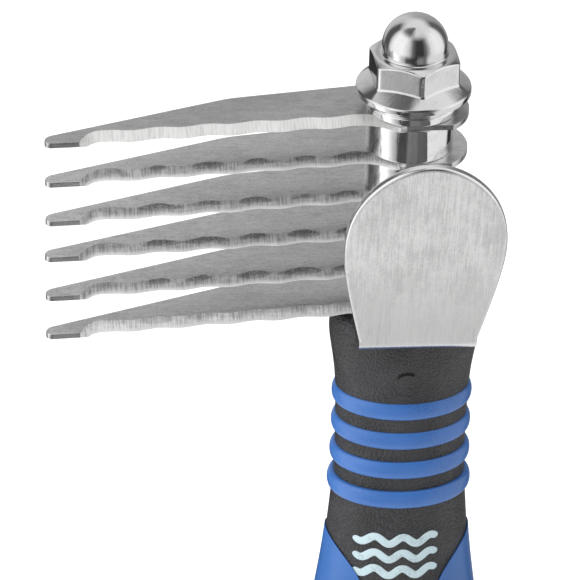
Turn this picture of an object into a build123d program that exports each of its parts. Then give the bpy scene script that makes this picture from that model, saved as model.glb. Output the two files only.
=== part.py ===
"""Six-blade dematting comb for a horse's mane and tail.

Six wavy-edged steel blades stand on one M8 stud between chrome spacers. A domed
cap nut clamps the stack on a bent thumb rest and on the top of an oval soft-grip
handle. Undoing the cap nut frees the blades to swivel on the stud.

Frame: origin at the centre of the hanging hole, +Z up the handle to the cap nut,
-X towards the blade tips, -Y towards the face of the thumb rest. Millimetres.
"""
from math import cos, pi, radians, sin, tan
import os

from build123d import *

os.makedirs("parts", exist_ok=True)

# ---- Clearances -------------------------------------------------------------
running_gap = 0.05        # radial play of a part that turns or slides on the stud
blade_float = 0.02        # axial play of a blade between its two seats
press_gap = 0.0           # pieces moulded or pressed into each other touch

# ---- Stud and cap nut (M8) --------------------------------------------------
stud_radius = 3.95
stud_bottom_z = 58.0
stud_tip_chamfer = 0.6
stud_in_nut = 9.4         # how far the stud's tip stands above the nut's seat
nut_across_flats = 13.0
nut_flange_radius = 8.95
nut_rim_height = 1.05
nut_cone_height = 1.3     # from the flange's rim up to a corner of the hexagon
nut_cone_rise = 0.3       # on from that corner up to the middle of a flat
nut_turn = 4.7            # degrees that a corner stands past the front
nut_hex_height = 6.7      # from the nut's seat to the top of the hexagon
nut_hex_bevel = 0.75      # height lost at each corner of the hexagon's top
nut_bevel_angle = 30.0    # degrees from level
nut_rim_rounding = 0.26
nut_dome_radius = 5.15
nut_dome_shoulder = 1.1   # straight part below the dome
nut_dome_root = 1.0       # how far the dome's solid reaches down into the hexagon
nut_tip_space = 0.9       # free space above the stud's tip

# ---- Blade stack ------------------------------------------------------------
blade_count = 6
blade_thickness = 0.9
blade_pitch = 6.7
spacer_radius = 6.8
spacer_edge = 0.25
spacer_play = 0.45        # radial play of a spacer, which lies a little off centre
spacer_shift = -0.35      # along X
collar_radius = 7.2
collar_height = 2.7

# ---- Blade plan, stud axis at (0, 0), tip towards -X ------------------------
eye_radius = 8.7
back_edge_y = 8.3         # back edge at the stud
front_edge_y = -6.5       # unground front edge at the stud
kink = (-28.3, 3.6)       # where the back edge turns in towards the tip
kink_radius = 14.0
tip_x = -57.2
tip_back_y = -7.55
tip_front_y = -9.7
tip_radius = 1.05
wave_count = 6
wave_pitch = 7.6
wave_depth = 0.5          # bump to valley, across the blade
wave_start = (-9.3, -4.55)     # bottom of the valley nearest the stud
wave_slope = 0.089        # the row of valleys runs outwards by this towards the tip
bevel_width = 2.15
edge_land = 0.06          # height left at the ground edge
# Where the grinding wheel enters, as (x from the first valley, y from the unground front edge)
grind_enters = ((6.6, -0.9), (4.6, 0.75))
# Where it leaves, as (x, y) from the last valley
grind_leaves = ((-2.9, -1.0), (-4.5, -2.8), (-5.0, -4.6))
# Each blade lies at its own small angle on its round eye, top blade first.
blade_angles = (-0.2, 0.1, 0.3, -0.3, 0.2, 0.5)

# ---- Thumb rest -------------------------------------------------------------
rest_thickness = 1.6
rest_reach = 14.4         # front face ahead of the stud, level with its own base
rest_lean = 13.5          # degrees forwards from upright
rest_bend_radius = 1.2    # inside of the bend
rest_shift = 0.4          # the plate's middle lies this far towards +X
rest_foot_half = 9.2      # half width at the bend
rest_eye_radius = 9.4
rest_rim = 0.55           # rounding of the rim
rest_length = 36.6        # from the bend to the top of the plate
rest_outline = ((10.75, 7.2), (12.0, 14.0), (12.5, 21.2), (11.35, 27.2), (8.0, 32.7))
rest_foot_slope = (0.22, 1)    # direction of the outline as it leaves the bend

# ---- Handle -----------------------------------------------------------------
handle_top_z = 101.9
depth_ratio = 0.70        # front to back over side to side
top_rounding = 1.3
sleeve_end_z = 13.0
plug_z = 92.0
plug_half_width = 11.1    # half width of the neck at the locator plugs
# (height, half width) of the oval sections, from the sleeve's end to its top
sleeve_sections = (
    (sleeve_end_z, 13.0), (26.0, 14.5), (38.0, 14.2), (49.5, 12.85), (57.5, 11.8), (67.0, 10.95),
    (76.0, 10.5), (84.0, 10.6), (plug_z, plug_half_width), (97.0, 11.85), (handle_top_z, 11.4),
)
tail_sections = ((-11.0, 7.2), (-6.5, 9.3), (2.0, 11.3), (sleeve_end_z, 13.0))
tail_rounding = 3.4
hang_hole_radius = 3.2
hang_hole_lip = 0.5
core_half_width = 8.7

# ---- Grip rings, inlaid panels and locator plugs ----------------------------
ring_top_z = 86.6
ring_pitch = 5.5
ring_count = 4
ring_height = 3.1
ring_half_widths = (11.25, 11.22, 11.32, 11.6)
ring_seat = 1.3           # depth of a ring's seat below the ring's crown
ring_rounding = 1.0
panel_depth = 1.1
panel_proud = 0.25
# Inner border of a side panel, as (distance from the middle, height)
panel_border = ((14.0, 63.6), (11.9, 61.2), (6.7, 55.0), (4.9, 45.0), (4.6, 32.0), (6.6, 21.0), (11.5, 16.2))
panel_outer_x = 20.0
plug_radius = 2.2
plug_depth = 1.0

# ---- Pins hidden in the handle ----------------------------------------------
cross_pin_radius = 1.5
cross_pin_length = 16.0
cross_pin_above_end = 5.0
dowel_radius = 1.2
dowel_x = 6.4
dowel_depth = 8.0

# ---- Heights that follow from the sizes above -------------------------------
stack_z = handle_top_z + rest_thickness
seat_height = blade_thickness + blade_float
spacer_height = blade_pitch - seat_height
collar_z = stack_z + (blade_count - 1) * blade_pitch + seat_height
nut_z = collar_z + collar_height
nut_corner_radius = nut_across_flats / 2 / cos(pi / 6)
hex_top_z = nut_z + nut_hex_height
core_half_depth = core_half_width * depth_ratio
cross_pin_z = stud_bottom_z + cross_pin_above_end


def oval(half_width):
    """One oval section of the handle, in the current sketch."""
    Ellipse(half_width, half_width * depth_ratio)


def seat_z(number):
    """Height of the seat under a blade; blade 1 is the top one."""
    return stack_z + (blade_count - number) * blade_pitch


def sleeve_body(offset=0.0):
    """The sleeve's outer form as a solid, grown or shrunk by offset."""
    with BuildPart() as body:
        for height, half_width in sleeve_sections:
            with BuildSketch(Plane.XY.offset(height)):
                Ellipse(half_width + offset, half_width * depth_ratio + offset)
        loft()
    return body.part


def write(piece, name):
    """Label a finished piece and write it to its own STEP file."""
    piece.part.label = name
    export_step(piece.part, f"parts/{name}.step")


# ---- Handle core: moulded bar with the hanging eye at its lower end ---------
with BuildPart() as handle_core:
    for height, half_width in tail_sections:
        with BuildSketch(Plane.XY.offset(height)):
            oval(half_width)
    loft()
    tail_end = handle_core.edges().group_by(Axis.Z)[0]
    fillet(tail_end, tail_rounding)
    with BuildSketch(Plane.XY.offset(sleeve_end_z)):
        oval(core_half_width)
    extrude(amount=handle_top_z - sleeve_end_z)
    with BuildSketch(Plane.XZ) as hang_profile:
        Circle(hang_hole_radius)
    extrude(amount=2 * tail_sections[-1][1], both=True, mode=Mode.SUBTRACT)
    hole_rims = handle_core.edges().filter_by(
        lambda edge: abs(edge.center().X) < hang_hole_radius
        and abs(edge.center().Z) < hang_hole_radius
        and edge.length > 4 * hang_hole_radius
    )
    fillet(hole_rims, hang_hole_lip)
    with BuildSketch(Plane.XY.offset(stud_bottom_z)):
        Circle(stud_radius + press_gap)
    extrude(amount=handle_top_z - stud_bottom_z, mode=Mode.SUBTRACT)
    with BuildSketch(Plane.YZ.offset(-cross_pin_length / 2)):
        with Locations((0, cross_pin_z)):
            Circle(cross_pin_radius)
    extrude(amount=cross_pin_length, mode=Mode.SUBTRACT)
    with BuildSketch(Plane.XY.offset(handle_top_z - dowel_depth)):
        with Locations((dowel_x, 0)):
            Circle(dowel_radius)
    extrude(amount=dowel_depth, mode=Mode.SUBTRACT)
write(handle_core, "handle_core")

# ---- Grip rings: oval rings bonded into seats round the neck ----------------
for number in range(1, ring_count + 1):
    crown = ring_half_widths[number - 1]
    floor = crown - ring_seat
    ring_z = ring_top_z - (number - 1) * ring_pitch
    with BuildPart() as grip_ring:
        with BuildSketch(Plane.XY.offset(ring_z - ring_height / 2)):
            Ellipse(crown, crown * depth_ratio)
            Ellipse(floor, crown * depth_ratio - ring_seat, mode=Mode.SUBTRACT)
        extrude(amount=ring_height)
        outer_wall = grip_ring.faces().filter_by(GeomType.PLANE, reverse=True).sort_by(SortBy.AREA)[-1]
        fillet(outer_wall.edges().filter_by(lambda edge: edge.length > 4 * ring_height), ring_rounding)
    write(grip_ring, f"grip_ring_{number}")

# ---- Side panels: raised inlays on the left and the right of the palm -------
panel_skin = sleeve_body(panel_proud)
panel_bed = sleeve_body(-panel_depth)
panels = {}
for name, side in (("grip_panel_left", -1), ("grip_panel_right", 1)):
    with BuildPart() as grip_panel:
        add(panel_skin)
        add(panel_bed, mode=Mode.SUBTRACT)
        with BuildSketch(Plane.XZ):
            with BuildLine():
                border = [(side * x, z) for x, z in panel_border]
                Spline(*border)
                Polyline(border[-1], (side * panel_outer_x, border[-1][1]),
                         (side * panel_outer_x, border[0][1]), border[0])
            make_face()
        extrude(amount=panel_outer_x, both=True, mode=Mode.INTERSECT)
    panels[name] = grip_panel
    write(grip_panel, name)

# ---- Locator plugs: round witness plugs round the neck ----------------------
plug_planes = []
for angle in (0, 90, 180, 270):
    outwards = Vector(cos(radians(angle)), sin(radians(angle)), 0)
    neck_depth = plug_half_width if angle % 180 == 0 else plug_half_width * depth_ratio
    plug_foot = outwards * (neck_depth - plug_depth) + Vector(0, 0, plug_z)
    plug_planes.append(Plane(origin=plug_foot, z_dir=outwards))
with BuildPart() as locator_plugs:
    for plug_plane in plug_planes:
        with BuildSketch(plug_plane):
            Circle(plug_radius)
        extrude(amount=2 * plug_depth)
    add(sleeve_body(), mode=Mode.INTERSECT)
write(locator_plugs, "locator_plugs")

# ---- Grip sleeve: soft oval sleeve over the core, with all the seats --------
with BuildPart() as grip_sleeve:
    add(sleeve_body())
    top_edge = grip_sleeve.edges().group_by(Axis.Z)[-1]
    fillet(top_edge, top_rounding)
    with BuildSketch(Plane.XY.offset(sleeve_end_z)):
        oval(core_half_width)
    extrude(amount=handle_top_z - sleeve_end_z, mode=Mode.SUBTRACT)
    for number in range(1, ring_count + 1):
        crown = ring_half_widths[number - 1]
        ring_z = ring_top_z - (number - 1) * ring_pitch
        with BuildSketch(Plane.XY.offset(ring_z - ring_height / 2)):
            Ellipse(2 * crown, 2 * crown)
            Ellipse(crown - ring_seat, crown * depth_ratio - ring_seat, mode=Mode.SUBTRACT)
        extrude(amount=ring_height, mode=Mode.SUBTRACT)
    for grip_panel in panels.values():
        add(grip_panel.part, mode=Mode.SUBTRACT)
    for plug_plane in plug_planes:
        with BuildSketch(plug_plane):
            Circle(plug_radius)
        extrude(amount=2 * plug_depth, mode=Mode.SUBTRACT)
write(grip_sleeve, "grip_sleeve")

# ---- Stud and the pins that hold it and the thumb rest ----------------------
with BuildPart() as stud:
    with BuildSketch(Plane.XY.offset(stud_bottom_z)):
        Circle(stud_radius)
    extrude(amount=nut_z + stud_in_nut - stud_bottom_z)
    chamfer(stud.edges().group_by(Axis.Z)[-1], stud_tip_chamfer)
    with BuildSketch(Plane.YZ.offset(-cross_pin_length / 2)):
        with Locations((0, cross_pin_z)):
            Circle(cross_pin_radius)
    extrude(amount=cross_pin_length, mode=Mode.SUBTRACT)
write(stud, "stud")

with BuildPart() as stud_cross_pin:
    with BuildSketch(Plane.YZ.offset(-cross_pin_length / 2)):
        with Locations((0, cross_pin_z)):
            Circle(cross_pin_radius)
    extrude(amount=cross_pin_length)
write(stud_cross_pin, "stud_cross_pin")

with BuildPart() as rest_dowel:
    with BuildSketch(Plane.XY.offset(handle_top_z - dowel_depth)):
        with Locations((dowel_x, 0)):
            Circle(dowel_radius)
    extrude(amount=dowel_depth + rest_thickness)
write(rest_dowel, "rest_dowel")

# ---- Thumb rest: base round the stud, bend, leaning shield-shaped plate -----
lean = radians(rest_lean)
facing = Vector(0, -cos(lean), -sin(lean))
bend_outer = rest_bend_radius + rest_thickness
bend_y = -rest_reach + (bend_outer - sin(lean) * bend_outer) / cos(lean)
bend_centre = Vector(0, bend_y, handle_top_z + bend_outer)
plate_plane = Plane(origin=bend_centre + facing * bend_outer + Vector(rest_shift, 0, 0),
                    x_dir=(1, 0, 0), z_dir=facing)
with BuildPart() as thumb_rest:
    with BuildSketch(plate_plane):
        with BuildLine():
            side = [(rest_foot_half, 0), *rest_outline, (0, rest_length)]
            Spline(*side, tangents=(rest_foot_slope, (-1, 0)))
            Line((0, rest_length), (0, 0))
            Line((0, 0), side[0])
        make_face()
        mirror(about=Plane.YZ)
    extrude(amount=-rest_thickness)
    rim = thumb_rest.edges().filter_by(lambda edge: edge.length > 3 * rest_foot_half)
    fillet(rim, rest_rim)
    with BuildSketch(Plane.YZ.offset(rest_shift)):
        with BuildLine():
            flat_centre = (bend_centre.Y, bend_centre.Z)
            inner = CenterArc(flat_centre, rest_bend_radius, 270, rest_lean - 90)
            outer = CenterArc(flat_centre, bend_outer, 270, rest_lean - 90)
            Line(inner @ 0, outer @ 0)
            Line(inner @ 1, outer @ 1)
        make_face()
    extrude(amount=rest_foot_half, both=True)
    with BuildSketch(Plane.XY.offset(handle_top_z)):
        Circle(rest_eye_radius)
        with Locations((rest_shift, bend_y / 2)):
            Rectangle(2 * rest_foot_half, -bend_y)
        Circle(stud_radius + press_gap, mode=Mode.SUBTRACT)
        with Locations((dowel_x, 0)):
            Circle(dowel_radius, mode=Mode.SUBTRACT)
    extrude(amount=rest_thickness)
write(thumb_rest, "thumb_rest")

# ---- Blades: blank with a round eye, then one ground wavy bevel -------------
valleys = [
    (wave_start[0] - index * wave_pitch, wave_start[1] - index * wave_pitch * wave_slope)
    for index in range(wave_count)
]
bumps = [
    (x - wave_pitch / 2, y - wave_pitch / 2 * wave_slope - wave_depth)
    for x, y in valleys[:-1]
]
wave = [point for pair in zip(valleys, bumps) for point in pair] + [valleys[-1]]
grind_in = [(wave_start[0] + x, front_edge_y + y) for x, y in grind_enters]
grind_out = [(valleys[-1][0] + x, valleys[-1][1] + y) for x, y in grind_leaves]
clear_y = 3 * front_edge_y    # well in front of every blade

for number in range(1, blade_count + 1):
    blade_plane = Plane.XY.offset(seat_z(number) + blade_float / 2).rotated((0, 0, blade_angles[number - 1]))
    with BuildPart() as blade:
        with BuildSketch(blade_plane):
            with BuildLine():
                Polyline((0, front_edge_y), (tip_x, tip_front_y), (tip_x, tip_back_y), kink,
                         (0, back_edge_y), close=True)
            blank = make_face()
            fillet(blank.vertices().sort_by(Axis.X)[:2], tip_radius)
            fillet(blank.vertices().sort_by_distance(kink)[0], kink_radius)
            Circle(eye_radius)
            with Locations((0, front_edge_y - eye_radius)):
                Rectangle(3 * eye_radius, 2 * eye_radius, mode=Mode.SUBTRACT)
            Circle(stud_radius + running_gap, mode=Mode.SUBTRACT)
        extrude(amount=blade_thickness)
        grind_plane = blade_plane.offset(edge_land)
        with BuildSketch(grind_plane) as ground_away:
            with BuildLine():
                Spline(*grind_in, *wave, *grind_out)
                Polyline(grind_out[-1], (grind_out[-1][0], clear_y), (grind_in[0][0], clear_y), grind_in[0])
            make_face()
        extrude(amount=-2 * edge_land, mode=Mode.SUBTRACT)
        inwards = blade_plane.y_dir * bevel_width + blade_plane.z_dir * blade_thickness
        extrude(ground_away.sketch, amount=inwards.length, dir=inwards, mode=Mode.SUBTRACT)
    write(blade, f"blade_{number}")

# ---- Spacers: chrome tubes between the blades -------------------------------
for number in range(1, blade_count):
    with BuildPart() as spacer:
        with BuildSketch(Plane.XY.offset(seat_z(number + 1) + seat_height)):
            with Locations((spacer_shift, 0)):
                Circle(spacer_radius)
                Circle(stud_radius + spacer_play, mode=Mode.SUBTRACT)
        extrude(amount=spacer_height)
        outer_wall = spacer.faces().filter_by(GeomType.CYLINDER).sort_by(SortBy.AREA)[-1]
        chamfer(outer_wall.edges().filter_by(GeomType.CIRCLE), spacer_edge)
    write(spacer, f"spacer_{number}")

# ---- Collar between the top blade and the cap nut ---------------------------
with BuildPart() as top_collar:
    with BuildSketch(Plane.XY.offset(collar_z)):
        Circle(collar_radius)
        Circle(stud_radius + running_gap, mode=Mode.SUBTRACT)
    extrude(amount=collar_height)
    outer_wall = top_collar.faces().filter_by(GeomType.CYLINDER).sort_by(SortBy.AREA)[-1]
    chamfer(outer_wall.edges().filter_by(GeomType.CIRCLE), spacer_edge)
write(top_collar, "top_collar")

# ---- Cap nut: flange, hexagon with bevelled corners, dome, blind bore -------
rim_top_z = nut_z + nut_rim_height
cone_top_z = rim_top_z + nut_cone_height + nut_cone_rise
dome_z = hex_top_z + nut_dome_shoulder
dome_root_z = hex_top_z - nut_dome_root
bevel_slope = tan(radians(nut_bevel_angle))
bevel_radius = nut_corner_radius - nut_hex_bevel / bevel_slope
clear_radius = 2 * nut_corner_radius    # well outside the hexagon
with BuildPart() as cap_nut:
    with BuildSketch(Plane.XY.offset(nut_z)):
        RegularPolygon(nut_across_flats / 2, 6, major_radius=False, rotation=nut_turn - 90)
    extrude(amount=nut_hex_height)
    with BuildSketch(Plane.XZ):
        with BuildLine():
            Polyline((0, hex_top_z), (bevel_radius, hex_top_z),
                     (clear_radius, hex_top_z - bevel_slope * (clear_radius - bevel_radius)),
                     (clear_radius, nut_z - clear_radius), (0, nut_z - clear_radius), close=True)
        make_face()
    revolve(axis=Axis.Z, mode=Mode.INTERSECT)
    with BuildSketch(Plane.XZ):
        with BuildLine():
            Polyline((0, nut_z), (nut_flange_radius, nut_z), (nut_flange_radius, rim_top_z),
                     (nut_corner_radius, cone_top_z - nut_cone_rise), (nut_across_flats / 2, cone_top_z),
                     (0, cone_top_z), close=True)
        make_face()
    revolve(axis=Axis.Z)
    rim = cap_nut.edges().filter_by(GeomType.CIRCLE).filter_by(
        lambda edge: edge.radius > nut_corner_radius + nut_rim_rounding
    )
    fillet(rim, nut_rim_rounding)
    with BuildSketch(Plane.XZ):
        with BuildLine():
            Line((0, dome_root_z), (nut_dome_radius, dome_root_z))
            Line((nut_dome_radius, dome_root_z), (nut_dome_radius, dome_z))
            CenterArc((0, dome_z), nut_dome_radius, 0, 90)
            Line((0, dome_z + nut_dome_radius), (0, dome_root_z))
        make_face()
    revolve(axis=Axis.Z)
    with BuildSketch(Plane.XY.offset(nut_z)):
        Circle(stud_radius + running_gap)
    extrude(amount=stud_in_nut + nut_tip_space, mode=Mode.SUBTRACT)
write(cap_nut, "cap_nut")
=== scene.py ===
"""Looks of a six-blade dematting comb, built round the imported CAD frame.

Every new piece is a surface of two parameters worked out with numpy, in millimetres,
and written to its mesh in metres. Places come from the frame's own boxes.
"""
from __future__ import annotations

import logging
from dataclasses import dataclass
from enum import Enum
from functools import partialmethod
from math import cos, pi, radians, sin, tau

import bmesh
import bpy
import numpy as np
from bpy.types import ColorRamp, Material, Node, NodeSocket, NodeTree, Object
from mathutils import Matrix, Vector
from numpy import ndarray

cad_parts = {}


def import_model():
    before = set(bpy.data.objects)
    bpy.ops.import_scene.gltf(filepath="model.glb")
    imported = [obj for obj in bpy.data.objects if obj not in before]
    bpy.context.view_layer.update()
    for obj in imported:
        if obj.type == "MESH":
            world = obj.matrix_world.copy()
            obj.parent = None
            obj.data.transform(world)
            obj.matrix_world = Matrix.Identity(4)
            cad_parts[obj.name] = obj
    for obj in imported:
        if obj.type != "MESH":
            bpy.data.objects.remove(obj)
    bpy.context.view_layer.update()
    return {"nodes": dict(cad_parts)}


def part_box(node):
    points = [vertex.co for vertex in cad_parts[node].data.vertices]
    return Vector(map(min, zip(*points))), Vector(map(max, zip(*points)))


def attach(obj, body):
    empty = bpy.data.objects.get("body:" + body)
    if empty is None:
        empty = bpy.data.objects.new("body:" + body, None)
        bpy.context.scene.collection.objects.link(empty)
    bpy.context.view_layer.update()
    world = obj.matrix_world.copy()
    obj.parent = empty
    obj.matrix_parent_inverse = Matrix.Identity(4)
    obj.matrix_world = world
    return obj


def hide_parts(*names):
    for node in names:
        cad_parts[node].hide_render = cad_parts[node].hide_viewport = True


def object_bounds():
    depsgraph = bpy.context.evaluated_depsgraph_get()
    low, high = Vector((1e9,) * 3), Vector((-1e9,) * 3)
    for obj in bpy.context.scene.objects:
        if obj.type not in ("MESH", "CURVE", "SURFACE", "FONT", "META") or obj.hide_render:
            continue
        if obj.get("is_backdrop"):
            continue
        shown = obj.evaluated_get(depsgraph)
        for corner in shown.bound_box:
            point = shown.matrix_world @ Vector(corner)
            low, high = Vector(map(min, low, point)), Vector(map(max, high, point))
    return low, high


LOG = logging.getLogger("comb")
MM = 0.001
REST_LEAN = 13.5          # degrees that the top of the thumb rest leans forward
BLADE_ANGLES = (-0.2, 0.1, 0.3, -0.3, 0.2, 0.5)       # degrees each blade is off the others
# the greys of blades two to six fall down the stack as painted shade under the blades above
BLADE_GREYS_WITH_PAINTED_SHADE = (0.64, 0.85, 0.84, 0.82, 0.79, 0.76)    # grey of each blade's flats, from the top


# ---- Shader expressions ----
class Graph:
    """The node tree of one material or world, with one method that adds any node."""

    def __init__(self, tree: NodeTree) -> None:
        """Start with an empty tree."""
        self.tree = tree
        tree.nodes.clear()

    def node(self, kind: str, settings: dict | None = None, inputs: dict | None = None) -> Node:
        """Add a node.

        Args:
            kind: the node's type without its "ShaderNode", such as "Math".
            settings: attributes set before anything else, such as {"operation": "ADD"}. "stops"
                gives a ramp's (position, grey or colour) pairs.
            inputs: socket name or number to a value or a Term.
        """
        made = self.tree.nodes.new("ShaderNode" + kind)
        for name, value in (settings or {}).items():
            if name == "stops":
                self._set_stops(made.color_ramp, value)
            else:
                setattr(made, name, value)
        for key, value in (inputs or {}).items():
            socket = made.inputs[key]
            if isinstance(value, Term):
                self.tree.links.new(value.socket, socket)
            else:
                socket.default_value = value
        return made

    def term(self, kind: str, output: str | int = 0, settings: dict | None = None,
             inputs: dict | None = None) -> Term:
        """Add a node and return one of its outputs as a Term."""
        return Term(self, self.node(kind, settings, inputs).outputs[output])

    def split(self, vector: Term) -> tuple[Term, Term, Term]:
        """The x, y and z of a vector."""
        parts = self.node("SeparateXYZ", None, {0: vector})
        return tuple(Term(self, output) for output in parts.outputs)

    @staticmethod
    def _set_stops(ramp: ColorRamp, stops: list) -> None:
        """Give a colour ramp its stops, in order of position."""
        while len(ramp.elements) < len(stops):
            ramp.elements.new(0.5)
        for element, (position, shade) in zip(ramp.elements, stops):
            element.position = position
            element.color = (*shade, 1) if isinstance(shade, tuple) else (shade, shade, shade, 1)


class Term:
    """A socket that can be used in arithmetic; each operator adds one Math node."""

    def __init__(self, graph: Graph, socket: NodeSocket) -> None:
        """Wrap one output socket."""
        self.graph = graph
        self.socket = socket

    def math(self, operation: str, other: Term | float | None = None, swap: bool = False) -> Term:
        """Apply a Math node to this term and another; swap puts the other one first."""
        pair = [self] if other is None else [other, self] if swap else [self, other]
        return self.graph.term("Math", 0, {"operation": operation}, dict(enumerate(pair)))

    __add__ = __radd__ = partialmethod(math, "ADD")
    __sub__ = partialmethod(math, "SUBTRACT")
    __rsub__ = partialmethod(math, "SUBTRACT", swap=True)
    __mul__ = __rmul__ = partialmethod(math, "MULTIPLY")
    __truediv__ = partialmethod(math, "DIVIDE")
    __pow__ = partialmethod(math, "POWER")

    def ramp(self, low: float, high: float, out_low: float = 0.0, out_high: float = 1.0) -> Term:
        """Smooth step of this term from low to high, between two output values."""
        return self.graph.term("MapRange", 0, {"interpolation_type": "SMOOTHSTEP"},
                               {0: self, 1: low, 2: high, 3: out_low, 4: out_high})


class Space:
    """Object coordinates in millimetres, with patterns made from them."""

    def __init__(self, graph: Graph, turn: float = 0.0) -> None:
        """Read Object coordinates, turned about Z by turn degrees."""
        self.graph = graph
        self.point = self.mapped(graph.term("TexCoord", "Object"), {
            "Rotation": (0, 0, radians(turn)), "Scale": (1 / MM,) * 3})
        self.x, self.y, self.z = graph.split(self.point)

    def mapped(self, vector: Term, change: dict) -> Term:
        """A vector moved, turned and scaled by a Mapping node's inputs."""
        return self.graph.term("Mapping", 0, {"vector_type": "POINT"},
                               {"Vector": vector, **change})

    def noise(self, size: float, detail: float = 3.0, rough: float = 0.5,
              stretch: tuple = (1, 1, 1), seed: float = 0.0) -> Term:
        """Fractal noise from 0 to 1 whose blobs are about size millimetres across.

        Args:
            size: blob size in millimetres.
            detail: number of finer layers.
            rough: weight of the finer layers.
            stretch: how many times longer a blob is along each axis.
            seed: where in the noise the pattern starts.
        """
        shifted = self.mapped(self.point, {
            "Location": (seed, seed * 1.7, -seed),
            "Scale": tuple(1 / (size * factor) for factor in stretch)})
        return self.graph.term("TexNoise", "Fac", {"noise_dimensions": "3D"}, {
            "Vector": shifted, "Scale": 1.0, "Detail": detail, "Roughness": rough})

    def cells(self, size: float, seed: float = 0.0) -> Term:
        """Distance to the nearest of scattered points that are about size millimetres apart."""
        shifted = self.mapped(self.point, {
            "Location": (seed, -seed, seed), "Scale": (1 / size,) * 3})
        return self.graph.term("TexVoronoi", "Distance", {"feature": "F1"}, {
            "Vector": shifted, "Scale": 1.0})


def blend_colour(factor: Term, first: tuple | Term, second: tuple | Term) -> Term:
    """Mix two colours by a factor; plain colours are (r, g, b)."""
    pair = [value if isinstance(value, Term) else (*value, 1) for value in (first, second)]
    return factor.graph.term("Mix", 2, {"data_type": "RGBA"},
                             {0: factor, 6: pair[0], 7: pair[1]})


def bump(height: Term, depth: float) -> Term:
    """The normal of relief whose height from 0 to 1 stands for depth millimetres."""
    return height.graph.term("Bump", "Normal", None, {
        "Height": height, "Distance": depth * MM, "Strength": 1.0})


def grey(value: float) -> tuple:
    """A neutral colour."""
    return (value,) * 3


@dataclass(frozen=True)
class Finish:
    """A Principled surface whose inputs a subclass varies, in coordinates turned about Z."""

    name: str
    colour: tuple
    metallic: float = 0.0
    roughness: float = 0.5
    specular: float = 0.5
    glow: float = 0.0
    turn: float = 0.0

    def build(self) -> Material:
        """Make the material: a Principled shader with plain values, then what varies linked in."""
        material = bpy.data.materials.new(self.name)
        material.use_nodes = True
        graph = Graph(material.node_tree)
        shader = graph.node("BsdfPrincipled", None, {
            "Metallic": self.metallic, "Specular IOR Level": self.specular,
            "Base Color": (*self.colour, 1), "Roughness": self.roughness,
            "Emission Color": (1, 1, 1, 1), "Emission Strength": self.glow})
        for socket, term in self.vary(Space(graph, self.turn)).items():
            graph.tree.links.new(term.socket, shader.inputs[socket])
        graph.node("OutputMaterial", None, {"Surface": Term(graph, shader.outputs[0])})
        return material

    def vary(self, space: Space) -> dict:
        """The shader's inputs that change over the surface; a plain finish has none."""
        return {}

    def tint(self, factor: float) -> tuple:
        """The finish's colour, lighter or darker by a factor."""
        return tuple(min(1.0, part * factor) for part in self.colour)


@dataclass(frozen=True)
class Chrome(Finish):
    """Bright plating over cheap steel: slow ripples, pinholes, haze and rubbed scratches."""

    haze: float = 0.07
    relief: float = 0.016
    soot: float = 0.8

    def vary(self, space: Space) -> dict:
        """Haze in the roughness, pinholes and soot in the colour, ripples in the relief."""
        ripple = space.noise(1.5, 4, 0.55)
        smear = space.noise(3.0, 4, 0.6, seed=6.0)
        fine = space.noise(0.3, 3, 0.65, seed=12.0)
        pits = space.cells(1.5, 4.0).ramp(0.05, 0.1)
        scratch = space.noise(0.16, 2, 0.5, (1, 1, 14), 7.0).ramp(0.66, 0.74)
        soot = (fine * 0.35 + smear * 0.65).ramp(0.36, 0.5)
        dirt = pits * 0.35 + soot * 0.65
        height = ripple * 0.74 + fine * 0.04 + pits * 0.14 + scratch * 0.08
        return {"Base Color": blend_colour(dirt, self.tint(self.soot), self.colour),
                "Roughness": smear * self.haze + self.roughness + scratch * 0.06,
                "Normal": bump(height, self.relief)}


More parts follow.
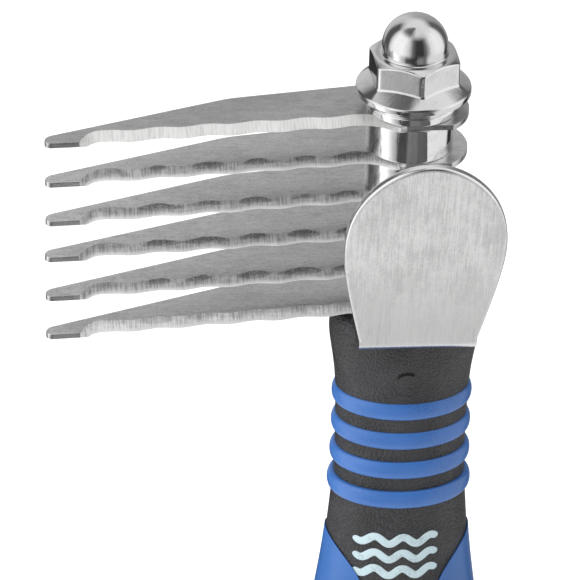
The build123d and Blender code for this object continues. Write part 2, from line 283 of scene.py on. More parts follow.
@dataclass(frozen=True)
class BrushedPlate(Finish):
    """Stainless plate, rubbed up and down, mottled by handling, with a polished rim.

    rim gives the depths behind the front face where the polish starts and ends; dull gives the
    heights between which the lower part goes darker.
    """

    lean: float = REST_LEAN
    face: float = 0.0
    contrast: tuple = (0.4, 0.58)
    # contrast of the streaks in the painted reflection on the back face
    painted_back_contrast: tuple = (0.36, 0.56)
    polish: tuple = (0.8, 0.8, 0.81)
    rim: tuple = (0.02, 0.14, 1.45, 1.58)
    dull: tuple = (106.0, 124.0)
    relief: float = 0.01

    def vary(self, space: Space) -> dict:
        """Long fine lines, a mottle of rubbed patches, a few scratches, and the rim.

        The rim is what lies between the plate's two faces, by the distance in from the front one;
        behind it the back face is painted dark, paler along the middle, as painted reflection that the
        spacers mirror.
        """
        deep = self.face + space.y * cos(radians(self.lean)) + space.z * sin(radians(self.lean))
        rim = deep.ramp(self.rim[0], self.rim[1]) * deep.ramp(self.rim[3], self.rim[2])
        lines = space.noise(0.2, 3, 0.6, (1, 30, 30))
        streaks = space.noise(0.7, 3, 0.6, (1, 12, 12), 5.0)
        mottle = space.noise(1.3, 5, 0.72, (1, 1.7, 1.7), 11.0)
        speck = space.noise(0.35, 3, 0.7, (1, 1, 1.4), 17.0)
        cloud = space.noise(9.0, 2, 0.5, seed=2.0)
        scratch = space.noise(0.13, 1, 0.5, (1, 60, 60), 9.0).ramp(0.68, 0.76)
        tone = lines * 0.28 + streaks * 0.1 + mottle * 0.24 + speck * 0.18 + cloud * 0.2
        dull = space.z.ramp(self.dull[1], self.dull[0])
        shade = blend_colour(tone.ramp(*self.contrast) * (1 - dull * 0.7), self.tint(0.7), self.colour)
        shade = blend_colour(scratch * (1 - rim) * 0.65, shade, (0.38, 0.38, 0.39))
        back = deep.ramp(self.rim[2], self.rim[3])
        shade = blend_colour(rim, shade, self.polish)
        # painted reflection: the back's dark grey with pale stripes, paler in the middle and on the
        # right, stands in for the room mirrored in the spacers
        wear_and_painted_stripes = space.x.ramp(-5.0, -3.0) * space.x.ramp(5.0, 2.0) * 0.6 + space.x.ramp(2.0, 6.0) * 0.34
        painted_back_reflection = blend_colour(wear_and_painted_stripes + tone.ramp(*self.painted_back_contrast) * 0.3, grey(0.07), grey(0.62))
        matte = mottle * 0.16 + lines * 0.1 + self.roughness - 0.12
        height = lines * 0.45 + streaks * 0.25 + speck * 0.1 - scratch * 0.3
        return {"Base Color": blend_colour(back, shade, painted_back_reflection),
                "Metallic": (rim + back) * (1 - self.metallic) + self.metallic,
                "Roughness": matte * (1 - rim) + rim * 0.14,
                "Normal": bump(height, self.relief)}


@dataclass(frozen=True)
class SoftRubber(Finish):
    """Soft-touch moulded rubber with a fine leathery grain, paler by bright where it is handled."""

    grain: float = 0.012
    bright: float = 1.35
    fine: float = 0.28
    uneven: float = 0.14

    def skin(self, space: Space, slit_painted_shade: Term | None = None) -> tuple[Term, dict]:
        """The fine grain, with the colour and roughness that it and slow clouds give.

        The mask after space is where the surface is open: it is painted near black there as painted
        shade inside the slit, and made rougher.
        """
        grain = space.noise(self.fine, 4, 0.62)
        cloud = space.noise(7.0, 3, 0.55, seed=8.0)
        tone = blend_colour((grain * 0.5 + cloud * 0.5).ramp(0.36, 0.66), self.colour,
                            self.tint(self.bright))
        matte = (grain - 0.5) * self.uneven + (cloud - 0.5) * 0.12 + self.roughness
        if slit_painted_shade:
            # painted shade: the open slit is painted near black
            tone, matte = blend_colour(slit_painted_shade, tone, grey(0.001)), matte + slit_painted_shade * 0.3
        return grain, {"Base Color": tone, "Roughness": matte}

    def vary(self, space: Space) -> dict:
        """The skin, and its grain and wrinkles in the relief."""
        grain, skin = self.skin(space)
        wrinkle = space.noise(1.1, 3, 0.6, (1.6, 1.0, 1.0), 3.0)
        return {**skin, "Normal": bump(grain * 0.6 + wrinkle * 0.4, self.grain)}


@dataclass(frozen=True)
class PrintInk(Finish):
    """Pale printed ink, thin where the rubber's grain shows through."""

    def vary(self, space: Space) -> dict:
        """Worn specks in the colour and the rubber's grain in the relief."""
        grain = space.noise(0.3, 4, 0.62)
        wear_and_painted_stripes = (grain * 0.5 + space.noise(2.5, 3, 0.6, seed=5.0) * 0.5).ramp(0.36, 0.5)
        return {"Base Color": blend_colour(wear_and_painted_stripes, self.tint(0.72), self.colour),
                "Roughness": grain * 0.2 + self.roughness - 0.1, "Normal": bump(grain, 0.02)}


@dataclass(frozen=True)
class SleeveRubber(SoftRubber):
    """The sleeve's rubber, with its parting line and the marks round the four locator plugs.

    slit is the torn crescent over a plug: left end, right end, radius, half width. reach is how far
    sideways a plug's marks are drawn, and where they have faded.
    """

    plug_z: float = 92.0
    plug_radius: float = 2.2
    slit: tuple = (-1.5, 0.9, 2.1, 0.38)
    reach: tuple = (4.2, 3.6)
    groove: tuple = (0.16, 0.04)
    fine: float = 0.3
    uneven: float = 0.16

    def vary(self, space: Space) -> dict:
        """Pebbled grain, with a faint ring and a torn crescent at each plug."""
        pebble = space.cells(0.42, 3.0).ramp(0.1, 0.7)
        wrinkle = space.noise(1.0, 3, 0.6, (1.8, 1.8, 0.8), 3.0)
        wobble = (wrinkle - 0.5) * 0.9
        marks = []
        for across in (space.x, space.y):
            near = across.math("ABSOLUTE").ramp(*self.reach)
            marks.append([mark * near for mark in self.plug_marks(across, space.z, wobble)])
        ring, slit = (front + side for front, side in zip(*marks))
        slit = slit.math("MINIMUM", 1.0)
        seam = space.x.math("ABSOLUTE").ramp(0.1, 0.02)
        # the crescent slits go into skin(), which paints them near black as painted shade
        grain, skin = self.skin(space, slit)
        height = pebble * 0.45 + grain * 0.3 + wrinkle * 0.25 - ring * 0.8 - slit * 3.0 + seam * 0.5
        return {**skin, "Normal": bump(height, self.grain)}

    def plug_marks(self, across: Term, up: Term, wobble: Term) -> tuple[Term, Term]:
        """The groove round one plug and the crescent tear over it, each from 0 to 1.

        The groove is where the distance from the plug's centre equals its radius; the tear lies
        between that circle and a little higher, over part of its top. across is measured sideways
        from the plug's centre line, and wobble makes the outlines uneven.
        """
        left, right, middle, half = self.slit
        rise = up - self.plug_z
        away = (across * across + rise * rise).math("SQRT") + wobble * 0.35
        ring = (away - self.plug_radius).math("ABSOLUTE").ramp(*self.groove)
        span = across.ramp(left - 0.25, left + 0.1) * across.ramp(right + 0.25, right - 0.1)
        tear = (away - middle).math("ABSOLUTE").ramp(half, half * 0.5) * span * rise.ramp(0.8, 1.2)
        return ring, tear


# ---- Surfaces ----
def rounded(corners: ndarray, radii: tuple, steps: int = 5, closed: bool = True) -> ndarray:
    """Round the corners of a family of outlines.

    Each corner is replaced by a quadratic curve that starts and ends radius away from it along
    its two edges, or at 0.45 of an edge where that is shorter, and has the corner as its control
    point.

    Args:
        corners: (..., n, 2) corner points.
        radii: n radii in millimetres; 0 keeps the corner.
        steps: points on each curve.
        closed: whether the last corner is joined to the first.

    Returns:
        (..., m, 2) points.
    """
    before, after = (np.roll(corners, shift, axis=-2) - corners for shift in (1, -1))
    t = np.linspace(0, 1, steps)[:, None]
    rows = []
    for index, radius in enumerate(radii):
        here, *sides = (grid[..., index:index + 1, :] for grid in (corners, before, after))
        if radius == 0 or (not closed and index in (0, len(radii) - 1)):
            rows.append(here)
            continue
        sizes = (np.maximum(np.linalg.norm(side, axis=-1, keepdims=True), 1e-9) for side in sides)
        start, stop = (here + side * np.minimum(radius / size, 0.45) for side, size in zip(sides, sizes))
        rows.append((1 - t) ** 2 * start + 2 * t * (1 - t) * here + t ** 2 * stop)
    return np.concatenate(rows, axis=-2)


def smooth_curve(knots: tuple, at: ndarray) -> ndarray:
    """Read a monotone cubic through (position, value) knots at some positions.

    Each piece is a Hermite cubic whose end slopes are the harmonic means of the chords beside
    them, so it never overshoots.
    """
    place, value = np.array(knots, float).T
    step = np.diff(place)
    chord = np.diff(value) / step
    product, total = chord[:-1] * chord[1:], chord[:-1] + chord[1:] + 1e-12
    inner = np.where(product > 0, 2 * product / total, 0)
    slope = np.concatenate([chord[:1], inner, chord[-1:]])
    index = np.clip(np.searchsorted(place, at) - 1, 0, len(step) - 1)
    t = np.clip((at - place[index]) / step[index], 0, 1)
    one = (1 + 2 * t) * (1 - t) ** 2 * value[index] + t * t * (3 - 2 * t) * value[index + 1]
    two = (t * (1 - t) ** 2 * slope[index] - t * t * (1 - t) * slope[index + 1]) * step[index]
    return one + two


@dataclass
class Surface:
    """A grid of points (rows, columns, 3) in millimetres that becomes one mesh piece."""

    name: str
    points: ndarray
    wrap_rows: bool = False
    wrap_columns: bool = True
    sharp: float = 40.0

    def build(self) -> Object:
        """Write the grid to a mesh in metres, close its poles and turn its faces outwards."""
        rows, columns = self.points.shape[:2]
        number = np.arange(rows * columns).reshape(rows, columns)
        first = number if self.wrap_rows else number[:-1]
        below = np.roll(number, -1, 0) if self.wrap_rows else number[1:]
        quads = np.stack([first, np.roll(first, -1, 1), np.roll(below, -1, 1), below], -1)
        quads = quads[:, :None if self.wrap_columns else -1].reshape(-1, 4)
        mesh = bpy.data.meshes.new(self.name)
        mesh.vertices.add(rows * columns)
        mesh.vertices.foreach_set("co", (self.points * MM).astype(np.float32).ravel())
        mesh.loops.add(quads.size)
        mesh.loops.foreach_set("vertex_index", quads.ravel().astype(np.int32))
        mesh.polygons.add(len(quads))
        mesh.polygons.foreach_set("loop_start", np.arange(0, quads.size, 4, dtype=np.int32))
        mesh.update(calc_edges=True)
        mesh.validate()
        work = bmesh.new()
        work.from_mesh(mesh)
        bmesh.ops.remove_doubles(work, verts=work.verts, dist=1e-7)
        bmesh.ops.recalc_face_normals(work, faces=work.faces)
        work.to_mesh(mesh)
        work.free()
        made = bpy.data.objects.new(self.name, mesh)
        bpy.context.collection.objects.link(made)
        mesh.shade_smooth()
        mesh.set_sharp_from_angle(angle=radians(self.sharp))
        return made


def turned(profile: ndarray, turns: int = 96, squash: float = 1.0,
           centre: tuple = (0.0, 0.0)) -> ndarray:
    """Carry a closed (radius, height) profile round the Z axis.

    x = radius cos(angle), y = radius squash sin(angle), z = height.

    Args:
        profile: (n, 2) points, or (turns, n, 2) where the profile changes on the way round.
        turns: number of angles.
        squash: front-to-back share of the radius.
        centre: (x, y) of the axis.

    Returns:
        (turns, n, 3) points.
    """
    angle = np.arange(turns) / turns * tau
    family = np.broadcast_to(profile, (turns, *profile.shape[-2:]))
    x = centre[0] + family[..., 0] * np.cos(angle)[:, None]
    y = centre[1] + family[..., 0] * np.sin(angle)[:, None] * squash
    return np.stack([x, y, family[..., 1]], -1)


def cut_bore(piece: Object, radius: float, low: float, high: float) -> None:
    """Cut a round hole along the Z axis through a closed piece, from one height to another."""
    ends = np.array([[0, low], [radius, low], [radius, high], [0, high]], float)
    cutter = Surface("cutter", turned(ends, 64), wrap_rows=True, wrap_columns=False).build()
    change = piece.modifiers.new("bore", "BOOLEAN")
    change.operation = "DIFFERENCE"
    change.object = cutter
    change.solver = "EXACT"
    bpy.context.view_layer.update()
    graph = bpy.context.evaluated_depsgraph_get()
    finished = bpy.data.meshes.new_from_object(piece.evaluated_get(graph))
    piece.modifiers.clear()
    old = piece.data
    piece.data = finished
    finished.name = piece.name
    bpy.data.meshes.remove(old)
    bpy.data.objects.remove(cutter)


class Box:
    """The lowest, highest and middle points of a CAD node, in millimetres."""

    def __init__(self, node: str) -> None:
        """Read the corners from the frame."""
        self.low, self.high = (np.array(corner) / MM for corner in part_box(node))
        self.middle = (self.low + self.high) / 2


def dress(piece: Object, finish: Material, body: str, slot: str, *nodes: str) -> None:
    """Give a piece its material, its body and the CAD nodes it stands for."""
    piece.data.materials.clear()
    piece.data.materials.append(finish)
    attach(piece, body)
    if nodes:
        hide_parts(*nodes)
    LOG.info("%s rides on %s, %d faces", piece.name, body, len(piece.data.polygons))


# ---- Cap nut, collar, spacers and stud ----
@dataclass
class CapNut:
    """Domed cap nut: flange with a sloping top, hexagon with bevelled corners, dome."""

    flats: float = 13.0
    rim: float = 1.05
    cone: float = 1.3
    cone_rise: float = 0.3
    hex_height: float = 6.7
    corner_bevel: float = 0.75
    dome: float = 5.15
    shoulder: float = 1.1
    turn: float = 4.7
    bore: float = 4.0
    bore_depth: float = 10.3
    corner_rounding: float = 0.16
    cap_sharpness: float = 18.0
    rounding: tuple = (0, 0.1, 0.3, 0.28, 0.28, 0.3, 0.22, 0.35, 0.25, 0)
    turns: int = 288

    def profile(self) -> ndarray:
        """(turns, n, 2) half sections from the bore's end round to the dome's top.

        The hexagon's wall stands at flats / 2 / cos(angle from the middle of the flat), capped
        smoothly near the corner. It starts on the flange's cone and ends on the corner bevel, so
        both of those heights follow from the wall's radius at each angle.
        """
        box = Box("cap_nut")
        base, flange = box.low[2], box.high[0]
        half = self.flats / 2
        corner = half / cos(radians(30))
        angle = np.arange(self.turns) / self.turns * 360 - 90 - self.turn
        away = angle % 60 - 30
        wall = half / np.cos(np.radians(away))
        cap = corner - self.corner_rounding
        sharp = self.cap_sharpness
        wall = -np.log(np.exp(-sharp * (wall - half)) + np.exp(-sharp * (cap - half))) / sharp + half
        rim_top = base + self.rim
        cone_top = rim_top + self.cone + self.cone_rise
        ground = cone_top - (wall - half) / (corner - half) * self.cone_rise
        hex_top = base + self.hex_height
        slope = sin(radians(30)) / cos(radians(30))
        start = corner - self.corner_bevel / slope
        shoulder_z = hex_top - np.maximum(wall - start, 0) * slope
        places = (
            (0, base + self.bore_depth), (self.bore, base + self.bore_depth), (self.bore, base),
            (flange, base), (flange, rim_top), (wall, ground), (wall, shoulder_z), (start, hex_top),
            (self.dome, hex_top), (self.dome, hex_top + self.shoulder))
        corners = np.stack([np.stack(np.broadcast_arrays(radius, height, wall)[:2], -1)
                            for radius, height in places], axis=1)
        outline = rounded(corners, self.rounding, 6, closed=False)
        lift = np.linspace(0, pi / 2, 25)[1:]
        centre = hex_top + self.shoulder
        dome = np.stack([self.dome * np.cos(lift), centre + self.dome * np.sin(lift)], -1)
        dome[-1, 0] = 0
        return np.concatenate([outline, np.broadcast_to(dome, (self.turns, *dome.shape))], axis=1)

    def build(self, finish: Material) -> None:
        """Make the nut and let it ride on its own body."""
        points = np.swapaxes(turned(self.profile(), self.turns), 0, 1)
        dress(Surface("domed_cap_nut", points, sharp=60).build(), finish, "nut", "chrome", "cap_nut")


@dataclass
class Stack:
    """Spacers and collar on the stud, and the threaded stud itself."""

    edge: float = 0.32
    spacer_bore: float = 4.4
    collar_bore: float = 4.0
    groove: float = 0.18
    groove_height: float = 0.52
    tip_share: float = 0.86
    tip_length: float = 0.8
    thread_pitch: float = 1.25
    thread_depth: float = 0.72
    thread_length: float = 24.0

    def tube(self, node: str, bore: float) -> ndarray:
        """A tube with rounded rims that fills a CAD node's box round its own centre."""
        box = Box(node)
        outer = (box.high[0] - box.low[0]) / 2
        low, high = box.low[2], box.high[2]
        corners = np.array([[bore, low], [outer, low], [outer, high], [bore, high]])
        profile = rounded(corners, (0.2, self.edge, self.edge, 0.2), 6)
        return turned(profile, 144, centre=(box.middle[0], box.middle[1]))

    def collar(self) -> ndarray:
        """The collar: a tube whose wall has one turned groove, as deep as half its width."""
        box = Box("top_collar")
        outer, low, high = box.high[0], box.low[2], box.high[2]
        waist, groove = low + self.groove_height * (high - low), self.groove
        corners = np.array([
            [self.collar_bore, low], [outer, low], [outer, waist - groove], [outer - groove, waist],
            [outer, waist + groove], [outer, high], [self.collar_bore, high]])
        return turned(rounded(corners, (0.15, 0.3, 0.1, 0.08, 0.1, 0.2, 0.15), 5), 144)

    def thread(self) -> ndarray:
        """The stud: radius = outer - depth times a rounded V of (height / pitch - angle / turn).

        The V fades out over one pitch below the threaded length and at the tip.
        """
        box = Box("stud")
        outer, low, high = box.high[0], box.low[2], box.high[2]
        fine = np.arange(high - self.thread_length, high, self.thread_pitch / 10)
        height = np.concatenate([[low], np.linspace(low + 0.4, fine[0] - 0.2, 12), fine, [high]])
        angle = np.arange(48) / 48 * tau
        phase = (height[:, None] - high) / self.thread_pitch - angle / tau
        vee = 0.5 - 0.5 * np.cos(tau * phase)
        fade = np.clip((height - fine[0]) / self.thread_pitch, 0, 1)[:, None]
        taper = np.clip((high - height) / self.tip_length, 0, 1)[:, None]
        share = self.tip_share + (1 - self.tip_share) * taper
        radius = (outer - self.thread_depth * vee ** 0.8 * fade) * share
        x, y = radius * np.cos(angle), radius * np.sin(angle)
        wall = np.stack([x, y, np.broadcast_to(height[:, None], x.shape)], -1)
        ends = [np.stack([0 * angle, 0 * angle, 0 * angle + z], -1)[None] for z in (low, high)]
        return np.concatenate([ends[0], wall, ends[1]])

    def build(self, chrome: Material, steel: Material) -> None:
        """Make the spacers, the collar and the stud."""
        for number in range(1, 6):
            node = f"spacer_{number}"
            surface = Surface(f"chrome_{node}", self.tube(node, self.spacer_bore), wrap_rows=True)
            dress(surface.build(), chrome, "root", "chrome", node)
        collar = Surface("chrome_collar", self.collar(), wrap_rows=True)
        dress(collar.build(), chrome, "collar", "chrome", "top_collar")
        dress(Surface("threaded_stud", self.thread()).build(), steel, "root", "zinc_steel", "stud")


# ---- Grip ----
@dataclass
class Grip:
    """Raised rings and the printed wave mark on the sleeve's front."""

    seat: float = 1.9
    crown: float = 0.86
    squash: float = 0.70
    sleeve: tuple = ((49.5, 12.85), (57.5, 11.8), (67.0, 10.95))
    mark_z: float = 59.6
    mark_x: float = -0.9
    mark_length: float = 13.5
    mark_pitch: float = 2.9
    mark_rise: float = 0.62
    mark_waves: int = 3
    stroke: float = 1.35
    ink: float = 0.07

    def ring(self, node: str) -> ndarray:
        """A ring: half an upright superellipse, flattened front to back with the handle.

        From the foot to the top, height = middle + half height sin(t) and the radius is
        the crown's less crown (1 - cos(t) ** 0.8).
        """
        box = Box(node)
        outer, middle = (box.high[0] - box.low[0]) / 2, box.middle[2]
        half = (box.high[2] - box.low[2]) / 2
        t = np.linspace(-pi / 2, pi / 2, 25)
        crest = outer - self.crown * (1 - np.maximum(np.cos(t), 0) ** 0.8)
        bulge = np.stack([crest, middle + half * np.sin(t)], -1)
        inner = np.array([[outer - self.seat, middle + half], [outer - self.seat, middle - half]])
        profile = np.concatenate([bulge, inner])
        return turned(profile, 192, self.squash, (box.middle[0], box.middle[1]))

    def wave(self, row: int) -> ndarray:
        """One printed wave: a thin lens-shaped section carried along a sine on the sleeve.

        At x and z the sleeve's front is y = -squash width(z) sqrt(1 - (x / width(z)) ** 2). The
        section is an ellipse, stroke wide and ink thick, that closes at the wave's two ends.
        """
        along = np.linspace(-0.5, 0.5, 97)
        x = self.mark_x + along * self.mark_length
        phase = along * self.mark_waves * tau
        z = self.mark_z + (1 - row) * self.mark_pitch + self.mark_rise * np.sin(phase)
        slope = self.mark_rise * self.mark_waves * tau / self.mark_length * np.cos(phase)
        swell = np.sqrt(np.maximum(1 - np.abs(2 * along) ** 22, 0))
        t = np.arange(16) / 16 * tau
        wide = np.cos(t)[None] * (self.stroke / 2 * swell)[:, None]
        length = np.sqrt(1 + slope ** 2)[:, None]
        px = x[:, None] - wide * slope[:, None] / length
        pz = z[:, None] + wide / length
        width = smooth_curve(self.sleeve, pz.ravel()).reshape(pz.shape)
        front = -self.squash * width * np.sqrt(1 - (px / width) ** 2)
        return np.stack([px, front - self.ink * np.sin(t)[None] * swell[:, None], pz], -1)

    def build(self, blue: Material, ink: Material) -> None:
        """Make the rings and the printed mark."""
        for number in range(1, 5):
            node = f"grip_ring_{number}"
            surface = Surface(f"raised_{node}", self.ring(node), wrap_rows=True, sharp=70)
            dress(surface.build(), blue, "root", "blue_rubber", node)
        for row in range(3):
            piece = Surface(f"printed_wave_{row + 1}", self.wave(row), sharp=180).build()
            dress(piece, ink, "root", "black_rubber")


# ---- Blades ----
@dataclass
class Blade:
    """One blade: straight back with a kink, round eye, wavy ground bevel, unground tip."""

    number: int
    angle: float
    eye: float = 8.7
    back: float = 8.3
    front: float = -6.5
    kink: tuple = (-28.3, 3.6)
    kink_spread: float = 0.12
    tip: tuple = (-57.2, -7.55, -9.7)
    tip_rounding: float = 1.05
    valley: tuple = (-9.3, -4.55)
    pitch: float = 7.6
    waves: int = 6
    depth: float = 0.5
    slope: float = 0.089
    bevel: float = 2.15
    land: float = 0.06
    leave_tip: tuple = (0.0267, 3.2)
    leave_eye: tuple = (0.075, 2.1)
    bore: float = 4.0
    least_half: float = 0.02
    rounding: tuple = (0.03, 0, 0, 0.12, 0.14, 0.14)
    sharp: float = 14.0

    def back_edge(self, x: ndarray) -> ndarray:
        """Back edge: the lower of two straight lines, blended at the kink, then the eye."""
        slope_in = (self.back - self.kink[1]) / -self.kink[0]
        slope_out = (self.kink[1] - self.tip[1]) / (self.kink[0] - self.tip[0])
        inner = self.back + slope_in * x
        outer = self.kink[1] + slope_out * (x - self.kink[0])
        spread = self.kink_spread
        line = -spread * np.log(np.exp(-inner / spread) + np.exp(-outer / spread))
        round_end = np.sqrt(np.maximum(self.eye ** 2 - x ** 2, 0))
        return np.where(x > 0, np.minimum(line, round_end), line)

    def plain_edge(self, x: ndarray) -> ndarray:
        """Front edge before grinding: one straight line to the tip, and the eye past the stud."""
        line = self.front + (self.tip[2] - self.front) / self.tip[0] * np.minimum(x, 0)
        round_end = -np.sqrt(np.maximum(self.eye ** 2 - x ** 2, 0))
        return np.where(x > 0, np.maximum(line, round_end), line)

    def ground_edge(self, x: ndarray) -> ndarray:
        """Sharp edge: a row of valleys that runs outwards towards the tip, with a cosine of the
        wave's depth between them, falling away as the wheel leaves the blade past its two ends."""
        along = self.valley[0] - x
        last = (self.waves - 1) * self.pitch
        held = np.clip(along, 0, last)
        bump = 0.5 - 0.5 * np.cos(tau * held / self.pitch)
        wave = self.valley[1] - self.slope * held - self.depth * bump
        return (wave - self.leave_tip[0] * np.maximum(along - last, 0) ** self.leave_tip[1]
                - self.leave_eye[0] * np.maximum(-along - 1.0, 0) ** self.leave_eye[1])

    def stations(self) -> ndarray:
        """Places along the blade, dense at the rounded tip and at the end of the eye."""
        tip, eye = self.tip[0], self.eye
        start = tip + self.tip_rounding * (1 - np.cos(np.linspace(0, pi / 2, 9)))
        end = eye * np.sin(np.linspace(radians(12), pi / 2, 26))
        return np.concatenate([start, np.arange(start[-1] + 0.3, end[0] - 0.1, 0.3), end])

    def sections(self) -> ndarray:
        """(stations, n, 3) closed cross sections, each one a profile across the blade.

        At height z the front stands at the larger of the plain edge and the sharp edge moved in
        by bevel times z / thickness. Near the tip both edges close in on a circle.
        """
        box = Box(f"blade_{self.number}")
        low, thick = box.low[2], box.high[2] - box.low[2]
        x = self.stations()
        back, plain, ground = self.back_edge(x), self.plain_edge(x), self.ground_edge(x)
        from_tip = np.clip(x - self.tip[0], 0, self.tip_rounding)
        arc = np.sqrt(np.maximum(2 * self.tip_rounding * from_tip - from_tip ** 2, 0))
        inset = self.tip_rounding - arc
        back, plain = back - inset, plain + inset
        middle = (back + plain) / 2
        back = np.maximum(back, middle + self.least_half)
        plain = np.minimum(plain, middle - self.least_half)
        levels = [0.0, self.land, thick * 0.5, thick]
        front = [np.maximum(plain, ground + self.bevel * max(z - self.land, 0) / thick) for z in levels]
        corners = [*zip(front, levels), (back, thick), (back, 0.0)]
        rows = [np.stack([y, np.full_like(x, low + z)], -1) for y, z in corners]
        loops = rounded(np.stack(rows, 1), self.rounding, 4)
        along = np.broadcast_to(x[:, None, None], (*loops.shape[:2], 1))
        points = np.concatenate([along, loops], -1)
        caps = [points[:1].mean(1, keepdims=True), points[-1:].mean(1, keepdims=True)]
        caps = [np.broadcast_to(cap, (1, *points.shape[1:])) for cap in caps]
        return np.concatenate([caps[0], points, caps[1]])

    def build(self, finish: Material) -> None:
        """Make the blade at its own angle on the stud, with its bore."""
        turn = radians(self.angle)
        points = self.sections()
        spin = np.array([[cos(turn), sin(turn), 0], [-sin(turn), cos(turn), 0], [0, 0, 1]])
        piece = Surface(f"ground_blade_{self.number}", points @ spin).build()
        box = Box(f"blade_{self.number}")
        cut_bore(piece, self.bore, box.low[2] - 1, box.high[2] + 1)
        piece.data.shade_smooth()
        piece.data.set_sharp_from_angle(angle=radians(self.sharp))
        dress(piece, finish, f"blade_{self.number}", "blade_steel", f"blade_{self.number}")


class Grind(Enum):
    """How a blade's bevel came off the wheel."""

    BRIGHT = "bright"
    PATCHED = "patched"
    FROSTED = "frosted"


@dataclass(frozen=True)
class BladeSteel(Finish):
    """Rolled strip steel: grey flats with fine lines, and a bevel in one of three states.

    patch is a dwell mark's half length, half height and drop below the bevel's upper border.
    """

    grind: Grind = Grind.PATCHED
    seed: float = 0.0
    shape: Blade | None = None
    patch: tuple = (2.4, 0.8, 0.5)
    patch_grey: float = 0.09
    bevel_metal: float = 0.4
    contrast: tuple = (0.36, 0.64)
    relief: float = 0.007

    def vary(self, space: Space) -> dict:
        """Mark the bevel by the distance in from the sharp edge, then vary both areas."""
        shape = self.shape
        along = shape.valley[0] - space.x
        last = (shape.waves - 1) * shape.pitch
        held = along.math("MAXIMUM", 0.0).math("MINIMUM", last)
        phase = held * (tau / shape.pitch)
        edge = shape.valley[1] - held * shape.slope - (1 - phase.math("COSINE")) * (shape.depth / 2)
        edge = edge - (along - last).math("MAXIMUM", 0.0) ** shape.leave_tip[1] * shape.leave_tip[0]
        edge = edge - (-1.0 - along).math("MAXIMUM", 0.0) ** shape.leave_eye[1] * shape.leave_eye[0]
        inside = space.y - edge
        bevel = inside.ramp(shape.bevel + 0.02, shape.bevel - 0.1)
        lines = space.noise(0.16, 3, 0.6, (30, 1, 1), self.seed)
        cross = space.noise(0.24, 3, 0.6, (1, 16, 16), self.seed + 3)
        speckle = space.noise(0.35, 3, 0.7, (1.4, 1, 1), self.seed + 6)
        mottle = space.noise(1.4, 5, 0.7, (1.6, 1, 1), self.seed + 5)
        cloud = space.noise(8.0, 3, 0.55, (1.8, 1, 1), self.seed + 9)
        flat_tone = (lines * 0.25 + speckle * 0.3 + mottle * 0.25 + cloud * 0.2).ramp(*self.contrast)
        flat = blend_colour(flat_tone, self.tint(0.62), self.colour)
        ground = self.bevel_colour(inside, cross, mottle)
        patch = self.patches(space, inside, along, mottle)
        steel = blend_colour(bevel, flat, ground)
        height = lines * (1 - bevel) * 0.4 + cross * bevel * 0.8 + speckle * 0.3
        return {"Base Color": blend_colour(patch, steel, grey(self.patch_grey)),
                "Metallic": bevel * (self.bevel_metal - self.metallic) + self.metallic,
                "Roughness": lines * 0.1 + mottle * 0.12 + self.roughness - 0.1 + bevel * 0.16,
                "Normal": bump(height, self.relief)}

    def bevel_colour(self, inside: Term, cross: Term, mottle: Term) -> Term:
        """Colour of the ground bevel, with a painted highlight along the sharp edge.

        inside is the distance in from that edge, cross the grinding lines, mottle blotches.
        """
        grain = (cross * 0.6 + mottle * 0.4).ramp(0.36, 0.6)
        if self.grind is Grind.BRIGHT:
            return blend_colour(cross.ramp(0.3, 0.58), grey(0.5), (0.63, 0.63, 0.62))
        if self.grind is Grind.FROSTED:
            body = blend_colour(grain, grey(0.44), grey(0.86))
        else:
            body = blend_colour(grain, grey(0.24), grey(0.56))
        # painted highlight: pale grey along the sharp edge, where the thin edge catches the light
        rim = (inside + mottle * 1.4).ramp(1.6, 0.7)
        return blend_colour(rim * 0.9, body, grey(0.8))

    def patches(self, space: Space, inside: Term, along: Term, mottle: Term) -> Term:
        """Dark scallops where the wheel dwelt, one high on the bevel over each valley.

        Each is an ellipse round a point that lies over a valley, a little below the bevel's upper
        border; noise moves its outline and its size, and it fades towards the sharp edge. inside
        is the distance in from that edge, and along the distance from the first valley.
        """
        shape = self.shape
        half, tall, below = self.patch
        away = (along * (pi / shape.pitch)).math("SINE") * (shape.pitch / pi) / half
        rise = (inside - (shape.bevel - below)) / tall
        size = space.noise(6.0, 2, seed=self.seed + 31.0).ramp(0.3, 0.64, -0.55, 0.3)
        oval = (size + mottle * 1.9 + 0.05 - away * away - rise * rise).ramp(0.0, 0.45)
        strength = {Grind.BRIGHT: 0.0, Grind.PATCHED: 0.85, Grind.FROSTED: 0.3}[self.grind]
        last = (shape.waves - 1) * shape.pitch
        run = along.ramp(-4.5, -2.5) * along.ramp(last + 4.0, last + 2.0)
        run = run * along.ramp(last - 1.0, last - 6.0, 0.45, 1.0)
        speckle = space.noise(0.3, 2, 0.7, seed=self.seed + 21.0).ramp(0.36, 0.58, 0.5, 1.0)
        return oval * rise.ramp(-1.4, 0.2, 0.25, 1.0) * speckle * run * strength


# ---- Camera, lights and floor ----
def direction(azimuth: float, elevation: float) -> Vector:
    """The unit vector at an azimuth, from the front towards +X, and an elevation."""
    side, up = radians(azimuth), radians(elevation)
    return Vector((sin(side) * cos(up), -cos(side) * cos(up), sin(up)))


@dataclass(frozen=True)
class Softbox:
    """A rectangular light that faces the comb's head; the room itself gives metal its highlights."""

    name: str
    azimuth: float
    elevation: float
    distance: float
    width: float
    height: float
    power: float

    def build(self, target: Vector) -> None:
        """Hang the light in its direction, facing the target."""
        data = bpy.data.lights.new(self.name, "AREA")
        data.shape = "RECTANGLE"
        data.size, data.size_y, data.energy = self.width, self.height, self.power
        light = bpy.data.objects.new(self.name, data)
        away = direction(self.azimuth, self.elevation)
        light.location = target + away * self.distance
        light.rotation_euler = away.to_track_quat("Z", "Y").to_euler()
        light.visible_glossy = False
        bpy.context.collection.objects.link(light)


